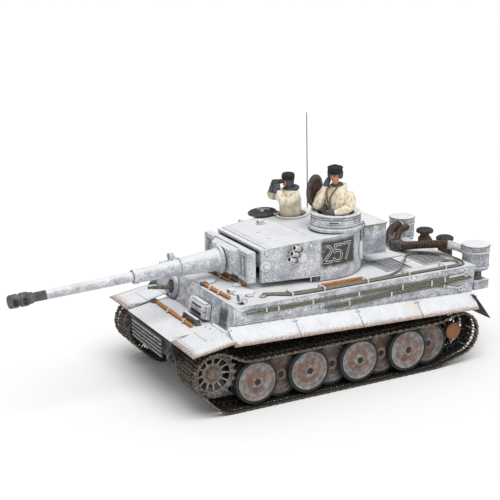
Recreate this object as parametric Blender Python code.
"""A 1:24 radio-controlled heavy battle tank, in metres.

The gun points along -Y, the tank's left is +X and +Z is up. The origin lies on the floor, under the
middle of the overall box. Every dimension below is a full-size one, in millimetres, divided by SCALE
through mm(): a scale model is drawn that way.
"""

import math

import bmesh
import bpy
from mathutils import Matrix, Vector

SCALE = 24.0
MIDDLE_Y = -893.0        # full-size y of the middle of the overall length, measured from the turret ring
GAP = 8.0                # clearance between neighbouring pieces, 0.33 mm on the model

# Hull
TUB_HALF_WIDTH = 960.0
TUB_WALL = 60.0
TUB_TOP = 1262.0
TUB_BOTTOM = 470.0
DECK_HALF_WIDTH = 1572.0
DECK_Z = 1789.0
SPONSON_Z = TUB_TOP + GAP
ROOF_PLATE = 60.0
FRONT_TOP_Y = -1941.0
FRONT_BOTTOM_Y = -2028.0
REAR_TOP_Y = 2974.0
REAR_BOTTOM_Y = 2915.0
RING_RADIUS = 905.0
MG_X = -830.0            # centre of the machine gun's ball in the front plate
MG_Y = -1980.0
MG_Z = 1512.0

# Running gear
AXLE_Z = 452.0
WHEEL_RADIUS = 400.0
FIRST_AXLE_Y = -1608.0
AXLE_PITCH = 510.0
AXLE_COUNT = 8
AXLE_RADIUS = 52.0
DISC_WIDTH = 75.0
DISC_STEP = 113.0        # the interleaved discs follow each other at this step across the track
OUTER_DISC_X = 1592.0    # inner face of the outermost disc
SPROCKET_Y = -2400.0
SPROCKET_Z = 720.0
SPROCKET_TEETH = 20
TOOTH_TIP_RADIUS = 424.0
TOOTH_ROOT_RADIUS = 372.0
IDLER_Y = 2545.0
IDLER_Z = 580.0
IDLER_RADIUS = 370.0

# Track belt
TRACK_INNER_X = 1048.0
TRACK_OUTER_X = 1773.0
TRACK_THICKNESS = 44.0
SPROCKET_WRAP = 382.0    # radius of the belt's inner face round the sprocket
TOUCHDOWN_Y = -2120.0    # where the sagging front of the belt reaches the ground

# Turret
TURRET_BOTTOM = 1800.0
TURRET_FRONT_BOTTOM = 1885.0
TURRET_FRONT_Y = -1065.0
TURRET_FRONT_HALF = 846.0
TURRET_ARC_RADIUS = 1040.0
TURRET_ARC_Y = 280.0
TURRET_WALL = 80.0
ROOF_FRONT_Z = 2477.0
ROOF_CREASE_Y = -60.0
ROOF_CREASE_Z = 2562.0
ROOF_REAR_Z = 2645.0
CUPOLA = (545.0, 610.0)
LOADER_HATCH = (-640.0, 380.0)

# Gun
TRUNNION_Y = -900.0
TRUNNION_Z = 2193.0
GUN_DROP = math.radians(2.53)
BARREL_BORE_RADIUS = 104.0
BARREL_RADIUS = 92.0
MUZZLE_Y = -5302.0

PAINT = (0.74, 0.76, 0.78, 1.0)
DARK_STEEL = (0.12, 0.12, 0.13, 1.0)
RUSTY_TRACK = (0.10, 0.075, 0.055, 1.0)
WHEEL_GREY = (0.42, 0.42, 0.42, 1.0)
BROWN_HOSE = (0.14, 0.09, 0.06, 1.0)
WOOD = (0.62, 0.33, 0.12, 1.0)
CABLE = (0.33, 0.33, 0.25, 1.0)
CLOTH = (0.80, 0.76, 0.66, 1.0)
BATTERY_BLUE = (0.08, 0.16, 0.40, 1.0)
BOARD_GREEN = (0.05, 0.25, 0.12, 1.0)
GEAR_WHITE = (0.75, 0.75, 0.72, 1.0)


def mm(value):
    """A full-size dimension in millimetres, as metres on the model."""
    return value * 0.001 / SCALE


def point(x, y, z):
    """A full-size place, measured from the turret ring's centre on the ground, as a place on the model."""
    return Vector((mm(x), mm(y - MIDDLE_Y), mm(z)))


# ---------------------------------------------------------------- scene and mesh helpers

def clear_scene():
    for old in list(bpy.data.objects):
        bpy.data.objects.remove(old)


def material(name, color, roughness=0.7, metallic=0.0):
    made = bpy.data.materials.new(name)
    made.use_nodes = True
    shader = made.node_tree.nodes["Principled BSDF"]
    shader.inputs["Base Color"].default_value = color
    shader.inputs["Roughness"].default_value = roughness
    shader.inputs["Metallic"].default_value = metallic
    return made


def solid(name, bm, origin=None):
    """An object from a bmesh in model metres, with its origin on its joint's axis where it has one."""
    bmesh.ops.recalc_face_normals(bm, faces=bm.faces)
    mesh = bpy.data.meshes.new(name)
    place = origin if origin is not None else Vector((0.0, 0.0, 0.0))
    bmesh.ops.translate(bm, verts=bm.verts, vec=-place)
    bm.to_mesh(mesh)
    bm.free()
    made = bpy.data.objects.new(name, mesh)
    made.location = place
    bpy.context.scene.collection.objects.link(made)
    return made


def finished(obj, color, roughness=0.7, metallic=0.0, smooth=False):
    obj.data.materials.clear()
    obj.data.materials.append(material(obj.name, color, roughness, metallic))
    if smooth:
        obj.data.shade_smooth()
        obj.data.set_sharp_from_angle(angle=math.radians(35.0))
    return obj


def block(x0, x1, y0, y1, z0, z1):
    """The bmesh of a box between full-size limits."""
    return hexahedron([(x0, y0, z0), (x1, y0, z0), (x1, y1, z0), (x0, y1, z0),
                       (x0, y0, z1), (x1, y0, z1), (x1, y1, z1), (x0, y1, z1)])


def hexahedron(corners):
    """A six-sided block from four lower and four upper full-size corners, both in the same turn."""
    bm = bmesh.new()
    verts = [bm.verts.new(point(*corner)) for corner in corners]
    for ring in ((3, 2, 1, 0), (4, 5, 6, 7), (0, 1, 5, 4), (1, 2, 6, 5), (2, 3, 7, 6), (3, 0, 4, 7)):
        bm.faces.new([verts[i] for i in ring])
    return bm


def extruded(outline, low, high):
    """A prism: outline is a list of full-size points at `low`, and `high` is where each one ends."""
    bm = bmesh.new()
    first = [bm.verts.new(point(*p)) for p in outline(low)]
    last = [bm.verts.new(point(*p)) for p in outline(high)]
    bm.faces.new(first)
    bm.faces.new(list(reversed(last)))
    count = len(first)
    for i in range(count):
        j = (i + 1) % count
        bm.faces.new((first[i], last[i], last[j], first[j]))
    return bm


def side_prism(profile, x0, x1):
    """A prism across the tank, from a side-view profile of (y, z)."""
    return extruded(lambda x: [(x, y, z) for y, z in profile], x0, x1)


def plan_prism(profile, z0, z1):
    """An upright prism, from a plan-view profile of (x, y)."""
    return extruded(lambda z: [(x, y, z) for x, y in profile], z0, z1)


def turned(profile, centre, axis, segments=16):
    """A body of revolution. profile is a list of (distance along axis, radius), from one end to the other."""
    direction = Vector(axis).normalized()
    side = direction.orthogonal().normalized()
    if abs(direction.x) > 0.9:
        side = Vector((0.0, 0.0, 1.0)) - direction * direction.z
        side.normalize()
    other = direction.cross(side)
    middle = Vector(centre)
    bm = bmesh.new()
    rings = []
    for along, radius in profile:
        ring = []
        for k in range(segments):
            angle = 2.0 * math.pi * k / segments
            spot = middle + direction * along + (side * math.cos(angle) + other * math.sin(angle)) * radius
            ring.append(bm.verts.new(point(*spot)))
        rings.append(ring)
    for first, last in zip(rings, rings[1:]):
        for k in range(segments):
            nxt = (k + 1) % segments
            bm.faces.new((first[k], first[nxt], last[nxt], last[k]))
    bm.faces.new(list(reversed(rings[0])))
    bm.faces.new(rings[-1])
    return bm


def cylinder(centre, axis, radius, start, end, segments=16):
    return turned([(start, radius), (end, radius)], centre, axis, segments)


def ellipsoid(centre, radii, turn=0.0, rings=5, segments=9):
    """A closed oval body, turned about Z by `turn` degrees."""
    bm = bmesh.new()
    bmesh.ops.create_uvsphere(bm, u_segments=segments, v_segments=rings, radius=1.0)
    stretch = Matrix.Diagonal((mm(radii[0]), mm(radii[1]), mm(radii[2]), 1.0))
    spin = Matrix.Rotation(math.radians(turn), 4, "Z")
    bm.transform(Matrix.Translation(point(*centre)) @ spin @ stretch)
    return bm


def boolean(target, bm, operation):
    """Joins or cuts `target` with a bmesh, and keeps only the result."""
    helper = solid(target.name + "_helper", bm)
    helper.hide_render = True
    helper.display_type = "WIRE"
    step = target.modifiers.new("step", "BOOLEAN")
    step.operation = operation
    step.solver = "EXACT"
    step.object = helper
    graph = bpy.context.evaluated_depsgraph_get()
    result = bpy.data.meshes.new_from_object(target.evaluated_get(graph))
    target.modifiers.clear()
    target.data = result
    bpy.data.objects.remove(helper)
    return target


def join(target, *others):
    for bm in others:
        boolean(target, bm, "UNION")
    return target


def cut(target, *others):
    for bm in others:
        boolean(target, bm, "DIFFERENCE")
    return target


def tube(name, path, radius, sides=2):
    """A round cable or hose as a poly curve through full-size points."""
    curve = bpy.data.curves.new(name, "CURVE")
    curve.dimensions = "3D"
    curve.bevel_depth = mm(radius)
    curve.bevel_resolution = sides
    curve.use_fill_caps = True
    spline = curve.splines.new("POLY")
    spline.points.add(len(path) - 1)
    for spot, place in zip(spline.points, path):
        spot.co = (*point(*place), 1.0)
    made = bpy.data.objects.new(name, curve)
    bpy.context.scene.collection.objects.link(made)
    return made


def swept(path, radius, sides):
    """The bmesh of a round hose along full-size points, held upright so that it doesn't twist."""
    spots = [Vector(p) for p in path]
    bm = bmesh.new()
    rings = []
    for i, spot in enumerate(spots):
        along = (spots[min(i + 1, len(spots) - 1)] - spots[max(i - 1, 0)]).normalized()
        level = along.cross(Vector((0.0, 0.0, 1.0))).normalized()
        upward = level.cross(along)
        ring = []
        for k in range(sides):
            angle = 2.0 * math.pi * k / sides
            place = spot + (level * math.cos(angle) + upward * math.sin(angle)) * radius
            ring.append(bm.verts.new(point(*place)))
        rings.append(ring)
    for first, last in zip(rings, rings[1:]):
        for k in range(sides):
            nxt = (k + 1) % sides
            bm.faces.new((first[k], first[nxt], last[nxt], last[k]))
    bm.faces.new(list(reversed(rings[0])))
    bm.faces.new(rings[-1])
    return bm


def smooth_path(knots, steps=5):
    """Points on the smooth curve through the knots."""
    spots = [Vector(k) for k in knots]
    count = len(spots)
    made = []
    for i in range(count - 1):
        a = spots[max(i - 1, 0)]
        b = spots[i]
        c = spots[i + 1]
        d = spots[min(i + 2, count - 1)]
        for k in range(steps):
            t = k / steps
            made.append(0.5 * (2 * b + (c - a) * t + (2 * a - 5 * b + 4 * c - d) * t ** 2
                               + (3 * b - 3 * c + d - a) * t ** 3))
    made.append(spots[-1])
    return made


def gun_place(ahead, x=0.0, above=0.0):
    """A full-size place on the depressed gun: `ahead` of the turret ring's centre, measured along the bore."""
    reach = ahead + TRUNNION_Y
    return (x,
            TRUNNION_Y - reach * math.cos(GUN_DROP) - above * math.sin(GUN_DROP),
            TRUNNION_Z - reach * math.sin(GUN_DROP) + above * math.cos(GUN_DROP))


def gun_direction():
    return (0.0, -math.cos(GUN_DROP), -math.sin(GUN_DROP))


SIDES = (("left", 1.0), ("right", -1.0))


# ---------------------------------------------------------------- hull

def lower_hull():
    """The tub, open on top, with the glacis and the nose in front and a bore for every axle."""
    profile = [(FRONT_BOTTOM_Y - 2 * GAP, 1306.0), (-2860.0, 1172.0), (-2860.0, 1120.0), (-2760.0, 760.0),
               (-2300.0, TUB_BOTTOM), (2620.0, TUB_BOTTOM), (2880.0, 700.0), (2915.0, TUB_TOP),
               (FRONT_BOTTOM_Y - 2 * GAP, TUB_TOP)]
    tub = solid("lower_hull", side_prism(profile, -TUB_HALF_WIDTH, TUB_HALF_WIDTH))
    inside = TUB_HALF_WIDTH - TUB_WALL
    cavity = [(-1980.0, 1400.0), (-1980.0, 1200.0), (-2700.0, 1080.0), (-2650.0, 790.0), (-2270.0, 530.0),
              (2590.0, 530.0), (2820.0, 730.0), (2850.0, 1400.0)]
    cut(tub, side_prism(cavity, -inside, inside))
    for index in range(AXLE_COUNT):
        y = FIRST_AXLE_Y + AXLE_PITCH * index
        cut(tub, cylinder((0, y, AXLE_Z), (1, 0, 0), AXLE_RADIUS + GAP, -1100, 1100, 12))
    for y, z in ((SPROCKET_Y, SPROCKET_Z), (IDLER_Y, IDLER_Z)):
        cut(tub, cylinder((0, y, z), (1, 0, 0), AXLE_RADIUS + GAP, -1100, 1100, 12))
    cut(tub, block(-300, 300, -100, 1300, 400, 600))
    cut(tub, block(560, 610, -60, 140, 400, 600))
    return finished(tub, PAINT)


def upper_hull():
    """The superstructure: sponsons, deck and sloped front plate, open below and at the turret ring."""
    profile = [(FRONT_BOTTOM_Y, SPONSON_Z), (FRONT_TOP_Y, DECK_Z), (REAR_TOP_Y, DECK_Z), (REAR_BOTTOM_Y, SPONSON_Z)]
    hull = solid("upper_hull", side_prism(profile, -DECK_HALF_WIDTH, DECK_HALF_WIDTH))
    inner = [(FRONT_BOTTOM_Y + 90, SPONSON_Z + 60), (FRONT_TOP_Y + 90, DECK_Z - ROOF_PLATE),
             (REAR_TOP_Y - 60, DECK_Z - ROOF_PLATE), (REAR_BOTTOM_Y - 60, SPONSON_Z + 60)]
    cut(hull, side_prism(inner, -DECK_HALF_WIDTH + 60, DECK_HALF_WIDTH - 60))
    cut(hull, block(-TUB_HALF_WIDTH + TUB_WALL, TUB_HALF_WIDTH - TUB_WALL, -1900, 2820, 1200, SPONSON_Z + 120))
    cut(hull, cylinder((0, 0, 0), (0, 0, 1), RING_RADIUS, DECK_Z - 2 * ROOF_PLATE, DECK_Z + 50, 32))
    cut(hull, block(-1150, 1150, 1330, 2870, DECK_Z - 2 * ROOF_PLATE, DECK_Z + 50))
    cut(hull, cylinder((MG_X, MG_Y, MG_Z), (0, -1, 0), 128.0, -160.0, 80.0, 16))
    return finished(hull, PAINT)


def hull_gun():
    """The ball-mounted machine gun in the front plate, on its upright swivel axis."""
    ball = [(-90, 60), (-60, 100), (0, 118), (60, 100), (85, 62), (90, 40), (230, 40), (235, 26), (520, 24)]
    gun = turned(ball, (MG_X, MG_Y, MG_Z), (0, -1, 0), 14)
    return finished(solid("hull_machine_gun", gun, point(MG_X, MG_Y, MG_Z)), DARK_STEEL, smooth=True)


def driver_visor():
    """The armoured block in front of the driver, with its two slits cut in."""
    def on_plate(z, proud):
        slope = (FRONT_TOP_Y - FRONT_BOTTOM_Y) / (DECK_Z - SPONSON_Z)
        return FRONT_BOTTOM_Y + (z - SPONSON_Z) * slope - proud

    low, high = 1330.0, 1600.0
    back, front = GAP, 120.0
    corners = []
    for z in (low, high):
        corners += [(60, on_plate(z, front), z), (700, on_plate(z, front), z),
                    (740, on_plate(z, back), z), (20, on_plate(z, back), z)]
    visor = solid("driver_visor", hexahedron(corners))
    for z in (1430.0, 1520.0):
        cut(visor, block(180, 580, on_plate(z, front) - 30, on_plate(z, front) + 50, z - 14, z + 14))
    return finished(visor, PAINT)


def engine_deck():
    """The lift-out plate over the engine, with four slotted grilles and two hose sockets."""
    edge = 1150.0 - GAP
    front, rear = 1330.0 + GAP, 2870.0 - GAP
    deck = solid("engine_deck", block(-edge, edge, front, rear, DECK_Z - ROOF_PLATE, DECK_Z))
    for side in (-1, 1):
        for y0 in (1420.0, 2220.0):
            for row in range(6):
                y = y0 + row * 95.0
                x0, x1 = sorted((side * 470.0, side * 1080.0))
                cut(deck, block(x0, x1, y, y + 42.0, DECK_Z - 100, DECK_Z + 20))
    return finished(deck, PAINT)


def pressed_sheet(rows, thick):
    """A bent plate: rows of full-size top points, and the same points `thick` lower."""
    bm = bmesh.new()
    top = [[bm.verts.new(point(x, y, z)) for x, y, z in row] for row in rows]
    low = [[bm.verts.new(point(x, y, z - thick)) for x, y, z in row] for row in rows]
    for grid in (top, low):
        for first, last in zip(grid, grid[1:]):
            for a, b, c, d in zip(first, first[1:], last[1:], last):
                bm.faces.new((a, b, c, d))
    for upper, lower in ((top[0], low[0]), (top[-1], low[-1])):
        for a, b, c, d in zip(upper, upper[1:], lower[1:], lower):
            bm.faces.new((a, b, c, d))
    for column in (0, -1):
        for i in range(len(rows) - 1):
            bm.faces.new((top[i][column], top[i + 1][column], low[i + 1][column], low[i][column]))
    return bm


def track_guard(side_name, side):
    """Front fender, flared side skirt and rear flap of one side, as one pressed piece."""
    thick = 24.0
    inner = TUB_HALF_WIDTH + 3 * GAP
    shell = DECK_HALF_WIDTH + GAP
    front, rear = -2864.0, -2050.0
    rows = 5
    fender = []
    for k in range(rows + 1):
        t = k / rows
        crown = 1180.0 + 192.0 * t
        edge = 1172.0 + 122.0 * t
        fender.append([(side * x, front + (rear - front) * t, z)
                       for x, z in ((inner, crown), (1515, crown), (1851, edge))])
    skirt = [[(side * x, y, z) for x, z in row] for y, row in (
        (-2110, ((shell, 1482), (1848, 1233))), (2887, ((shell, 1298), (1848, 1046))))]
    flap = [[(side * x, y, z) for x in (1090, 1773)] for y, z in ((2865, 1246), (3209, 790))]
    guard = solid("track_guard_" + side_name, pressed_sheet(fender, thick))
    join(guard, pressed_sheet(skirt, thick), pressed_sheet(flap, thick))
    return finished(guard, PAINT)


def spare_track_rack():
    """A row of ribbed bars on the bow plate."""
    rack = solid("spare_track_rack", block(-640, 640, -2900, -2880, 800, 1130))
    for row in range(4):
        z = 830.0 + row * 85.0
        join(rack, block(-620, 620, -2925, -2890, z, z + 34.0))
    return finished(rack, DARK_STEEL)


def headlight(side_name, side):
    x = side * 1430.0
    lamp = turned([(-55, 40), (-30, 66), (50, 70), (60, 60)], (x, -1760, DECK_Z + 112), (0, -1, 0), 12)
    light = solid("headlight_" + side_name, lamp)
    join(light, cylinder((x, -1760, 0), (0, 0, 1), 20, DECK_Z + GAP, DECK_Z + 90, 8))
    return finished(light, DARK_STEEL, smooth=True)


FILTER_X = 1215.0
FILTER_Y = 3255.0
FILTER_RADIUS = 265.0


def air_filter(side_name, side):
    """The air-cleaner canister on a rear corner: round drum, waist and dust box, on a bracket."""
    x = side * FILTER_X
    drum = turned([(1590, 150), (1610, 235), (2030, 258), (2035, FILTER_RADIUS), (2065, FILTER_RADIUS),
                   (2075, 240)], (x, FILTER_Y, 0), (0, 0, 1), 16)
    canister = solid("air_filter_" + side_name, drum)
    join(canister, cylinder((x, FILTER_Y, 0), (0, 0, 1), 120, 1400, 1600, 12))
    join(canister, block(x - 200, x + 200, FILTER_Y - 170, FILTER_Y + 170, 1235, 1410))
    join(canister, block(x - 60, x + 60, REAR_TOP_Y + 12, FILTER_Y, 1690, 1730))
    return finished(canister, PAINT, smooth=True)


def filter_hoses():
    """Both flexible air hoses, joined at the socket over the engine."""
    hoses = solid("filter_hoses", cylinder((0, 2330, 0), (0, 0, 1), 130, DECK_Z + GAP, 1960, 14))
    for side in (1.0, -1.0):
        knots = [(side * 60, 2330, 1880), (side * 330, 2350, 1915), (side * 620, 2600, 1960),
                 (side * 800, 2860, 1985), (side * 872, 2960, 1985)]
        join(hoses, swept(smooth_path(knots, 3), 82.0, 8))
    return finished(hoses, BROWN_HOSE, smooth=True)


def exhaust(side_name, side):
    """A silencer on the rear plate inside its half-round shield, with a mushroom cap on top."""
    x = side * 330.0
    y = 3190.0
    stack = solid("exhaust_" + side_name, turned(
        [(1180, 120), (1200, 150), (1840, 150), (1860, 100), (1940, 100), (1945, 165), (1990, 165), (2030, 110)],
        (x, y, 0), (0, 0, 1), 14))
    join(stack, block(x - 60, x + 60, REAR_TOP_Y + 12, y, 1500, 1560))
    return finished(stack, DARK_STEEL, smooth=True)


def antenna():
    """The whip on its socket, at the right-hand edge of the deck behind the turret."""
    base = point(-1485, 1190, 0)
    whip = turned([(DECK_Z + GAP, 46), (DECK_Z + 70, 46), (DECK_Z + 75, 22), (DECK_Z + 190, 14), (4330, 9)],
                  (-1485, 1190, 0), (0, 0, 1), 8)
    obj = solid("antenna", whip, base)
    return finished(obj, DARK_STEEL, smooth=True)


def track_cable():
    """The long thin cable clipped along the left side of the hull: a flat bundle of turns."""
    x = DECK_HALF_WIDTH + GAP + 14
    run = []
    for side, z in ((1, 1682.0), (-1, 1612.0)):
        ys = [-1700.0, -900.0, 0.0, 900.0, 1800.0, 2700.0]
        run += [(x, y if side > 0 else -y + 1000.0, z) for y in (ys if side > 0 else ys)]
    return finished(tube("track_cable", smooth_path(run, 3), 13.0), CABLE)


def tow_cable():
    """The thick tow cable lying along the left edge of the deck."""
    z = DECK_Z + GAP + 32
    knots = [(1330, -1380, z), (1440, -900, z), (1440, 0, z), (1440, 900, z), (1440, 1900, z), (1420, 2700, z)]
    return finished(tube("tow_cable", smooth_path(knots, 5), 30.0), CABLE)


def bow_tool():
    """A shovel strapped across the glacis."""
    z = 1215.0
    handle = solid("glacis_shovel", hexahedron([
        (-760, -2560, z + 28), (640, -2330, z + 68), (640, -2290, z + 72), (-760, -2520, z + 32),
        (-760, -2560, z + 62), (640, -2330, z + 102), (640, -2290, z + 106), (-760, -2520, z + 66)]))
    return finished(handle, WOOD)


# ---------------------------------------------------------------- inside the hull

def battery_pack():
    pack = solid("battery_pack", block(-280, 280, -80, 1280, 560, 1000))
    bevel = pack.modifiers.new("edges", "BEVEL")
    bevel.width = mm(60)
    bevel.segments = 2
    return finished(pack, BATTERY_BLUE, 0.4)


def control_board():
    board = solid("control_board", block(-700, 700, 1500, 2500, 900, 940))
    for x, y, w, h in ((-400, 1700, 260, 110), (150, 1750, 340, 60), (-300, 2150, 200, 80), (300, 2200, 240, 140)):
        join(board, block(x, x + w, y, y + w, 930, 940 + h))
    return finished(board, BOARD_GREEN, 0.5)


def gearbox(side_name, side):
    """A drive motor with its gearbox, one for each sprocket."""
    x0, x1 = sorted((side * 500.0, side * (TUB_HALF_WIDTH - TUB_WALL - GAP - 30)))
    box = solid("gearbox_" + side_name, block(x0, x1, -2440, -1560, 670, 960))
    join(box, cylinder((side * 690, -1600, 800), (0, 1, 0), 150, 0, 780, 12))
    return finished(box, GEAR_WHITE, 0.5)


def battery_cover():
    """The sliding cover under the battery bay."""
    cover = solid("battery_cover", block(-360, 360, -160, 1360, TUB_BOTTOM - 34, TUB_BOTTOM - GAP),
                  point(0, 600, TUB_BOTTOM - 20))
    return finished(cover, DARK_STEEL)


def power_switch():
    """The slider that switches the model on, in its slot under the hull."""
    knob = solid("power_switch", block(545, 625, -20, 60, TUB_BOTTOM - 60, TUB_BOTTOM - GAP), point(585, 20, 440))
    join(knob, block(568, 602, 0, 40, TUB_BOTTOM - 30, 560))
    return finished(knob, DARK_STEEL)


# ---------------------------------------------------------------- running gear

def disc_profile(first, last, hub_radius, hub_end):
    """Axle, discs and hub of one wheel station, from inside the tub outward."""
    profile = [(TUB_HALF_WIDTH - TUB_WALL + 4, AXLE_RADIUS)]
    for x in (OUTER_DISC_X - DISC_STEP * step for step in range(first, last - 1, -2)):
        profile += [(x, AXLE_RADIUS), (x, WHEEL_RADIUS), (x + DISC_WIDTH, WHEEL_RADIUS)]
        profile.append((x + DISC_WIDTH, AXLE_RADIUS if x + DISC_STEP < hub_end - DISC_STEP else hub_radius))
    profile.append((hub_end, hub_radius))
    return profile


def road_wheel(side_name, side, index):
    """One wheel station. Even ones carry the outermost disc, odd ones sit one step further in."""
    outer = index % 2 == 0
    if outer:
        profile = disc_profile(4, 0, 110.0, OUTER_DISC_X + DISC_WIDTH + 25)
    else:
        profile = disc_profile(3, 1, 100.0, OUTER_DISC_X - DISC_STEP + DISC_WIDTH + 20)
    centre = (0, FIRST_AXLE_Y + AXLE_PITCH * index, AXLE_Z)
    bm = turned(profile, centre, (side, 0, 0), 14)
    name = f"road_wheel_{side_name}_{index + 1}"
    return finished(solid(name, bm, point(side * 1300, centre[1], AXLE_Z)), WHEEL_GREY, smooth=True)


def toothed_ring(side, x0, x1):
    """A sprocket ring: a disc with a tooth for every link that it carries."""
    outline = []
    for k in range(SPROCKET_TEETH):
        for share, radius in ((-0.30, TOOTH_ROOT_RADIUS), (-0.12, TOOTH_TIP_RADIUS),
                              (0.12, TOOTH_TIP_RADIUS), (0.30, TOOTH_ROOT_RADIUS)):
            angle = 2.0 * math.pi * (k + share) / SPROCKET_TEETH
            outline.append((SPROCKET_Y + radius * math.sin(angle), SPROCKET_Z + radius * math.cos(angle)))
    return side_prism(outline, side * x0, side * x1)


SPROCKET_RINGS = ((1215.0, 1255.0), (1610.0, 1655.0))


def sprocket(side_name, side):
    """Hub, two toothed rings and the drive shaft into the gearbox wall."""
    centre = (0, SPROCKET_Y, SPROCKET_Z)
    wheel = solid("sprocket_" + side_name, turned(
        [(TUB_HALF_WIDTH - TUB_WALL + 4, AXLE_RADIUS), (1190, AXLE_RADIUS), (1195, 190), (1560, 190), (1614, 165)],
        centre, (side, 0, 0), 16))
    for x0, x1 in SPROCKET_RINGS:
        join(wheel, toothed_ring(side, x0, x1))
    wheel.data.transform(Matrix.Translation(-point(side * 1400, SPROCKET_Y, SPROCKET_Z)))
    wheel.location = point(side * 1400, SPROCKET_Y, SPROCKET_Z)
    return finished(wheel, WHEEL_GREY)


def idler(side_name, side):
    profile = [(TUB_HALF_WIDTH - TUB_WALL + 4, AXLE_RADIUS), (1140, AXLE_RADIUS), (1140, IDLER_RADIUS),
               (1215, IDLER_RADIUS), (1215, 150), (1366, 150), (1366, IDLER_RADIUS), (1441, IDLER_RADIUS),
               (1441, 160), (1540, 160), (1565, 130)]
    bm = turned(profile, (0, IDLER_Y, IDLER_Z), (side, 0, 0), 18)
    return finished(solid("idler_" + side_name, bm, point(side * 1300, IDLER_Y, IDLER_Z)), WHEEL_GREY, smooth=True)


def tangent_angle(first, first_radius, second, second_radius):
    """Direction, in degrees, of the common lower normal of two circles of the side view."""
    dy, dz = second[0] - first[0], second[1] - first[1]
    lean = math.acos((first_radius - second_radius) / math.hypot(dy, dz))
    return math.degrees(math.atan2(dz, dy) - lean)


def belt_line():
    """The belt's inner face as (y, z): along the ground, up round the idler, along the top, down the sprocket."""
    roll = WHEEL_RADIUS + GAP
    wrap = IDLER_RADIUS + GAP
    last = (FIRST_AXLE_Y + AXLE_PITCH * (AXLE_COUNT - 1), AXLE_Z)
    rear = (IDLER_Y, IDLER_Z)
    front = (SPROCKET_Y, SPROCKET_Z)
    line = []

    def arc(centre, radius, start, end, count):
        for k in range(count + 1):
            angle = math.radians(start + (end - start) * k / count)
            line.append((centre[0] + radius * math.cos(angle), centre[1] + radius * math.sin(angle)))

    def bend(a, b, c, d, count):
        for k in range(1, count):
            t = k / count
            weights = ((1 - t) ** 3, 3 * t * (1 - t) ** 2, 3 * t * t * (1 - t), t ** 3)
            line.append(tuple(sum(w * p[i] for w, p in zip(weights, (a, b, c, d))) for i in (0, 1)))

    leave_last = tangent_angle(last, roll, rear, wrap)
    top = AXLE_Z + roll
    arc(last, roll, -90, leave_last, 2)
    arc(rear, wrap, leave_last, 90, 12)
    bend((IDLER_Y, IDLER_Z + wrap), (IDLER_Y - 250, IDLER_Z + wrap), (last[0] + 300, top), (last[0], top), 5)
    line.append((last[0], top))
    line.append((FIRST_AXLE_Y - 60, top))
    crest = 62.0
    lean = math.radians(crest)
    start = (SPROCKET_Y + SPROCKET_WRAP * math.cos(lean), SPROCKET_Z + SPROCKET_WRAP * math.sin(lean))
    away = (math.sin(lean), -math.cos(lean))
    bend((FIRST_AXLE_Y - 60, top), (FIRST_AXLE_Y - 330, top),
         (start[0] + away[0] * 330, start[1] + away[1] * 330), start, 7)
    arc(front, SPROCKET_WRAP, crest, 228.0, 16)
    low = line[-1]
    bend(low, (low[0] + 171, low[1] - 154), (TOUCHDOWN_Y - 230, AXLE_Z - roll), (TOUCHDOWN_Y, AXLE_Z - roll), 6)
    line.append((TOUCHDOWN_Y, AXLE_Z - roll))
    return line


def offset_line(line, distance):
    """The closed line moved outward by `distance`."""
    count = len(line)
    moved = []
    for i, (y, z) in enumerate(line):
        y0, z0 = line[i - 1]
        y1, z1 = line[(i + 1) % count]
        along = Vector((y1 - y0, z1 - z0)).normalized()
        moved.append((y + along.y * distance, z - along.x * distance))
    return moved


def track(side_name, side):
    """One endless belt, with slots round the sprocket for its teeth."""
    inner = belt_line()
    outer = offset_line(inner, TRACK_THICKNESS)
    bm = bmesh.new()
    rings = []
    for (y0, z0), (y1, z1) in zip(inner, outer):
        rings.append([bm.verts.new(point(x * side, y, z)) for x, y, z in (
            (TRACK_INNER_X, y0, z0), (TRACK_OUTER_X, y0, z0), (TRACK_OUTER_X, y1, z1), (TRACK_INNER_X, y1, z1))])
    for first, last in zip(rings, rings[1:] + rings[:1]):
        for k in range(4):
            nxt = (k + 1) % 4
            bm.faces.new((first[k], first[nxt], last[nxt], last[k]))
    belt = solid("track_" + side_name, bm)
    for x0, x1 in SPROCKET_RINGS:
        cut(belt, cylinder((0, SPROCKET_Y, SPROCKET_Z), (side, 0, 0), TOOTH_TIP_RADIUS + 2 * GAP,
                           x0 - 2 * GAP, x1 + 2 * GAP, 40))
    return finished(belt, RUSTY_TRACK)


# ---------------------------------------------------------------- turret

def turret_outline(inset=0.0, steps=18):
    """Plan of the horseshoe wall: straight tapering sides in front, a round rear."""
    taper = math.asin(0.1515)
    radius = TURRET_ARC_RADIUS - inset
    front_half = TURRET_FRONT_HALF - inset
    outline = [(-front_half, TURRET_FRONT_Y), (front_half, TURRET_FRONT_Y)]
    for k in range(steps + 1):
        angle = -taper + (math.pi + 2 * taper) * k / steps
        outline.append((radius * math.cos(angle), TURRET_ARC_Y + radius * math.sin(angle)))
    return outline


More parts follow.
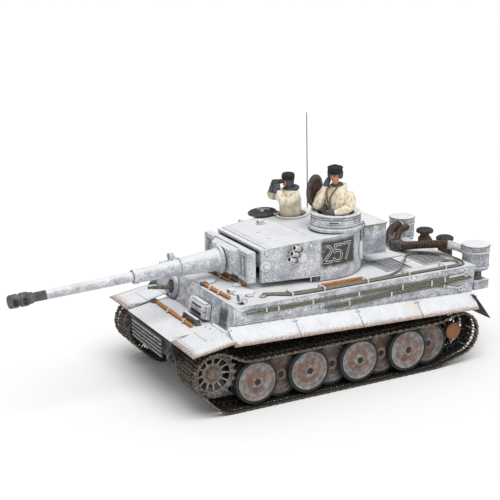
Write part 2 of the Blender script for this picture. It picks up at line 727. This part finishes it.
def turret_shell():
    """Walls and sloped roof of the turret, open at the bottom, at the gun opening and at both hatches."""
    outline = turret_outline()
    shell = solid("turret_shell", plan_prism(outline, TURRET_BOTTOM, 2800))
    far = 2000.0
    above_front = [(-far, 3000), (-far, ROOF_FRONT_Z - 0.0846 * (far + TURRET_FRONT_Y)),
                   (ROOF_CREASE_Y, ROOF_CREASE_Z), (ROOF_CREASE_Y, 3000)]
    above_rear = [(ROOF_CREASE_Y - 1, 3000), (ROOF_CREASE_Y - 1, ROOF_CREASE_Z - 0.06),
                  (1400, ROOF_REAR_Z + 5), (1400, 3000)]
    cut(shell, side_prism(above_front, -far, far), side_prism(above_rear, -far, far))
    room = plan_prism(turret_outline(TURRET_WALL), TURRET_BOTTOM - 50, 2790)
    core = solid("turret_room", room)
    roof_under = [(y, z - 50) for y, z in ((-far, ROOF_FRONT_Z - 79), (ROOF_CREASE_Y, ROOF_CREASE_Z),
                                           (1400, ROOF_REAR_Z + 5))] + [(1400, 3000), (-far, 3000)]
    cut(core, side_prism(roof_under, -far, far))
    bm = bmesh.new()
    bm.from_mesh(core.data)
    bpy.data.objects.remove(core)
    cut(shell, bm)
    cut(shell, block(-TURRET_FRONT_HALF + 90, TURRET_FRONT_HALF - 90, -1400, -900, 1700, 2420))
    cut(shell, block(-far, far, -1400, -115, 1700, TURRET_FRONT_BOTTOM))
    for (x, y), radius in ((CUPOLA, 340.0), (LOADER_HATCH, 265.0)):
        cut(shell, cylinder((x, y, 0), (0, 0, 1), radius, 2300, 2900, 24))
    return finished(shell, PAINT, smooth=True)


def turret_base():
    """The toothed ring under the turret, sitting inside the opening in the deck."""
    ring = solid("turret_ring_gear", cylinder((0, 0, 0), (0, 0, 1), RING_RADIUS - 3 * GAP, 1700, TURRET_BOTTOM - GAP, 32),
                 point(0, 0, 1750))
    cut(ring, cylinder((0, 0, 0), (0, 0, 1), 700, 1600, 1900, 32))
    return finished(ring, GEAR_WHITE)


def roof_z(y):
    if y < ROOF_CREASE_Y:
        return ROOF_CREASE_Z + (y - ROOF_CREASE_Y) * 0.0846
    return ROOF_CREASE_Z + (y - ROOF_CREASE_Y) * (ROOF_REAR_Z + 5 - ROOF_CREASE_Z) / (1400 - ROOF_CREASE_Y)


def cupola():
    """The drum cupola: base flange, drum and rim, open through the middle."""
    x, y = CUPOLA
    base = roof_z(y + 540) + GAP
    drum = solid("cupola", turned([(base, 535), (base + 45, 530), (base + 50, 445), (2860, 440), (2865, 460), (2900, 455)],
                                  (x, y, 0), (0, 0, 1), 28))
    cut(drum, cylinder((x, y, 0), (0, 0, 1), 330, 2500, 3000, 24))
    return finished(drum, PAINT, smooth=True)


def hatch_frame(centre, azimuth):
    """Directions of a hatch that opens towards `azimuth` degrees from the front, round to the right."""
    angle = math.radians(azimuth)
    outward = Vector((-math.sin(angle), -math.cos(angle), 0.0))
    return Vector((centre[0], centre[1], 0.0)), outward


def commander_hatch():
    """The round lid, standing upright on the cupola's rim."""
    middle, outward = hatch_frame(CUPOLA, 58.0)
    hinge = middle + outward * 420.0 + Vector((0, 0, 2925))
    centre = hinge + Vector((0, 0, 300))
    lid = solid("commander_hatch", turned([(-18, 262), (0, 290), (22, 290), (34, 240)], centre, outward, 20),
                point(*hinge))
    return finished(lid, DARK_STEEL, smooth=True)


def loader_hatch():
    """The lid lying open on the roof."""
    middle, outward = hatch_frame(LOADER_HATCH, 46.0)
    hinge = middle + outward * 305.0
    hinge.z = roof_z(hinge.y) + 34
    centre = middle + outward * 590.0
    centre.z = roof_z(centre.y) + 40
    axis = Vector((0.0, -0.0846, 1.0)).normalized()
    lid = solid("loader_hatch", turned([(-20, 262), (-12, 275), (12, 275), (22, 250)], centre, axis, 18), point(*hinge))
    return finished(lid, DARK_STEEL, smooth=True)


def stowage_bin():
    low, high = 2045.0, 2600.0
    back = 1590.0
    corners = []
    for z in (low, high):
        corners += [(-751, 1120, z), (751, 1120, z), (751, back, z), (-751, back, z)]
    box = solid("stowage_bin", hexahedron(corners))
    cut(box, plan_prism(turret_outline(-GAP, 36), 1900, 2800))
    return finished(box, PAINT)


def smoke_launcher(side_name, side):
    """Three short tubes on a bracket."""
    bracket = solid("smoke_launcher_" + side_name, block(*sorted((side * 965.0, side * 990.0)), -560, -330, 2220, 2500))
    for k in range(3):
        z = 2260.0 + 95.0 * k
        y = -520.0 + 50.0 * k
        centre = (side * 1020.0, y, z)
        join(bracket, cylinder(centre, (side * 0.25, -1.0, 0.35), 44, -60, 120, 10))
    return finished(bracket, DARK_STEEL, smooth=True)


# ---------------------------------------------------------------- gun

def mantlet():
    """The gun shield, its inner block on the trunnions and the fixed sleeve of the barrel."""
    half, top, bottom = 885.0, 2461.0, 1920.0
    front, back = -1375.0, -1190.0
    shield = solid("mantlet", block(-half, half, front, back, bottom, top))
    for part in (block(-480, 480, front - 45, back, bottom + 40, top - 30),
                 block(-330, 330, back - 10, -760, 2020, 2335)):
        join(shield, part)
    join(shield, cylinder((0, TRUNNION_Y, TRUNNION_Z), (1, 0, 0), 90, -700, 700, 12))
    sleeve = [(1300, 235), (1430, 232), (1470, 205), (1620, 190), (2100, 150), (3020, 122), (3060, 132), (3120, 130)]
    centre = gun_place(0)
    join(shield, turned(sleeve, centre, gun_direction(), 20))
    cut(shield, cylinder(centre, gun_direction(), BARREL_BORE_RADIUS, 1150, 3400, 16))
    turned_about = point(0, TRUNNION_Y, TRUNNION_Z)
    shield.data.transform(Matrix.Translation(-turned_about))
    shield.location = turned_about
    return finished(shield, PAINT, smooth=True)


def barrel():
    """The recoiling tube with its muzzle brake."""
    length = (MUZZLE_Y - TRUNNION_Y) / -math.cos(GUN_DROP) - TRUNNION_Y
    profile = [(1450, BARREL_RADIUS - 2), (3160, BARREL_RADIUS - 4), (length - 420, 80), (length - 410, 98),
               (length - 350, 98), (length - 320, 118), (length - 200, 118), (length - 190, 98), (length - 160, 98),
               (length - 150, 118), (length - 20, 112), (length, 100)]
    gun = solid("gun_barrel", turned(profile, gun_place(0), gun_direction(), 16), point(*gun_place(3000)))
    return finished(gun, PAINT, smooth=True)


# ---------------------------------------------------------------- crew

def commander():
    """A standing crew figure in a padded jacket, one hand raised to the headset."""
    x, y = CUPOLA
    body = solid("commander_figure", turned([(2560, 150), (2700, 190), (2980, 215), (3180, 250), (3330, 230), (3420, 120)],
                                            (x, y, 0), (0, 0, 1), 12))
    join(body, ellipsoid((x + 10, y, 3590), (125, 140, 200)),
         ellipsoid((x - 230, y - 60, 3180), (120, 150, 230), 20),
         ellipsoid((x + 250, y + 60, 3160), (120, 130, 260), -10),
         ellipsoid((x + 10, y, 3730), (150, 165, 90)))
    return finished(body, CLOTH, smooth=True)


def loader():
    """A standing crew figure looking ahead through binoculars."""
    x, y = LOADER_HATCH
    body = solid("loader_figure", turned([(2440, 140), (2600, 180), (2900, 210), (3060, 225), (3180, 120)],
                                         (x, y, 0), (0, 0, 1), 12))
    join(body, ellipsoid((x, y, 3330), (120, 135, 190)),
         ellipsoid((x - 170, y - 130, 3090), (90, 210, 100), -14),
         ellipsoid((x + 170, y - 130, 3090), (90, 210, 100), 14),
         ellipsoid((x, y - 220, 3290), (110, 150, 60)))
    return finished(body, CLOTH, smooth=True)


def build():
    clear_scene()
    lower_hull()
    upper_hull()
    hull_gun()
    driver_visor()
    engine_deck()
    spare_track_rack()
    filter_hoses()
    antenna()
    track_cable()
    tow_cable()
    bow_tool()
    battery_pack()
    control_board()
    battery_cover()
    power_switch()
    for side_name, side in SIDES:
        track_guard(side_name, side)
        headlight(side_name, side)
        air_filter(side_name, side)
        exhaust(side_name, side)
        gearbox(side_name, side)
        sprocket(side_name, side)
        idler(side_name, side)
        track(side_name, side)
        smoke_launcher(side_name, side)
        for index in range(AXLE_COUNT):
            road_wheel(side_name, side, index)
    turret_shell()
    turret_base()
    cupola()
    commander_hatch()
    loader_hatch()
    stowage_bin()
    mantlet()
    barrel()
    commander()
    loader()


build()
